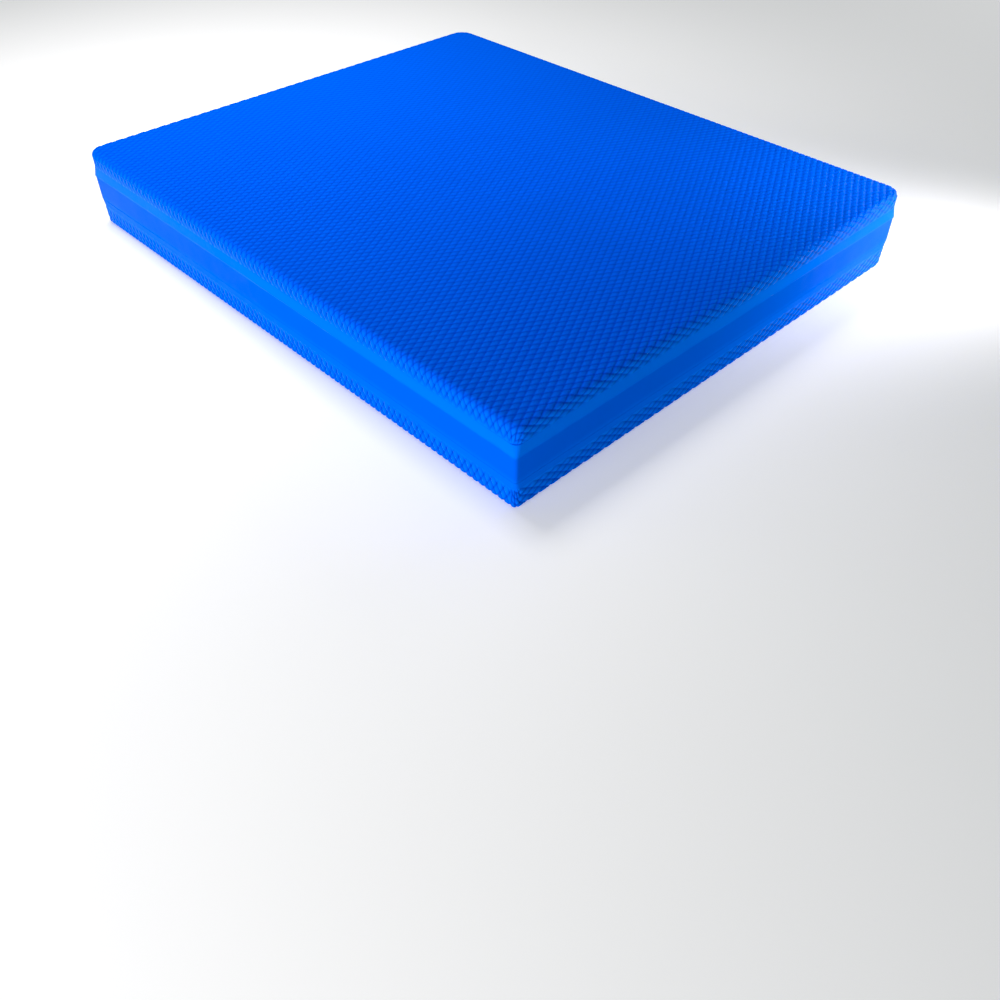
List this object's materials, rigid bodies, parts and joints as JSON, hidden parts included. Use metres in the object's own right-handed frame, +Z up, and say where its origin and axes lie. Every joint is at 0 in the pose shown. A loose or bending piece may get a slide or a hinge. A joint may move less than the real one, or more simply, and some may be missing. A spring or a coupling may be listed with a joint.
{
  "type": "balance pad",
  "caption": "Thick rectangular foam balance pad with an embossed diamond-pattern standing surface and embossed edges.",
  "frame": {"origin": "middle of the underside, on the surface that the pad lies on", "axes": "+X along the long side, +Y along the short side, +Z up through the thickness"},
  "size_m": [0.48, 0.4, 0.06],
  "materials": {
    "embossed_foam": "closed-cell elastomer foam, hot-embossed with a diamond net, semi-matt with a soft sheen",
    "plain_foam": "closed-cell elastomer foam, smooth pressed edge, satin",
    "cut_foam": "closed-cell elastomer foam, smooth cut edge with faint handling marks, satin"
  },
  "bodies": {
    "root": {"top_cover_sheet": "embossed_foam", "upper_core_layer": "plain_foam", "middle_core_layer": "cut_foam", "lower_core_layer": "plain_foam", "bottom_cover_sheet": "embossed_foam"}
  },
  "joints": []
}
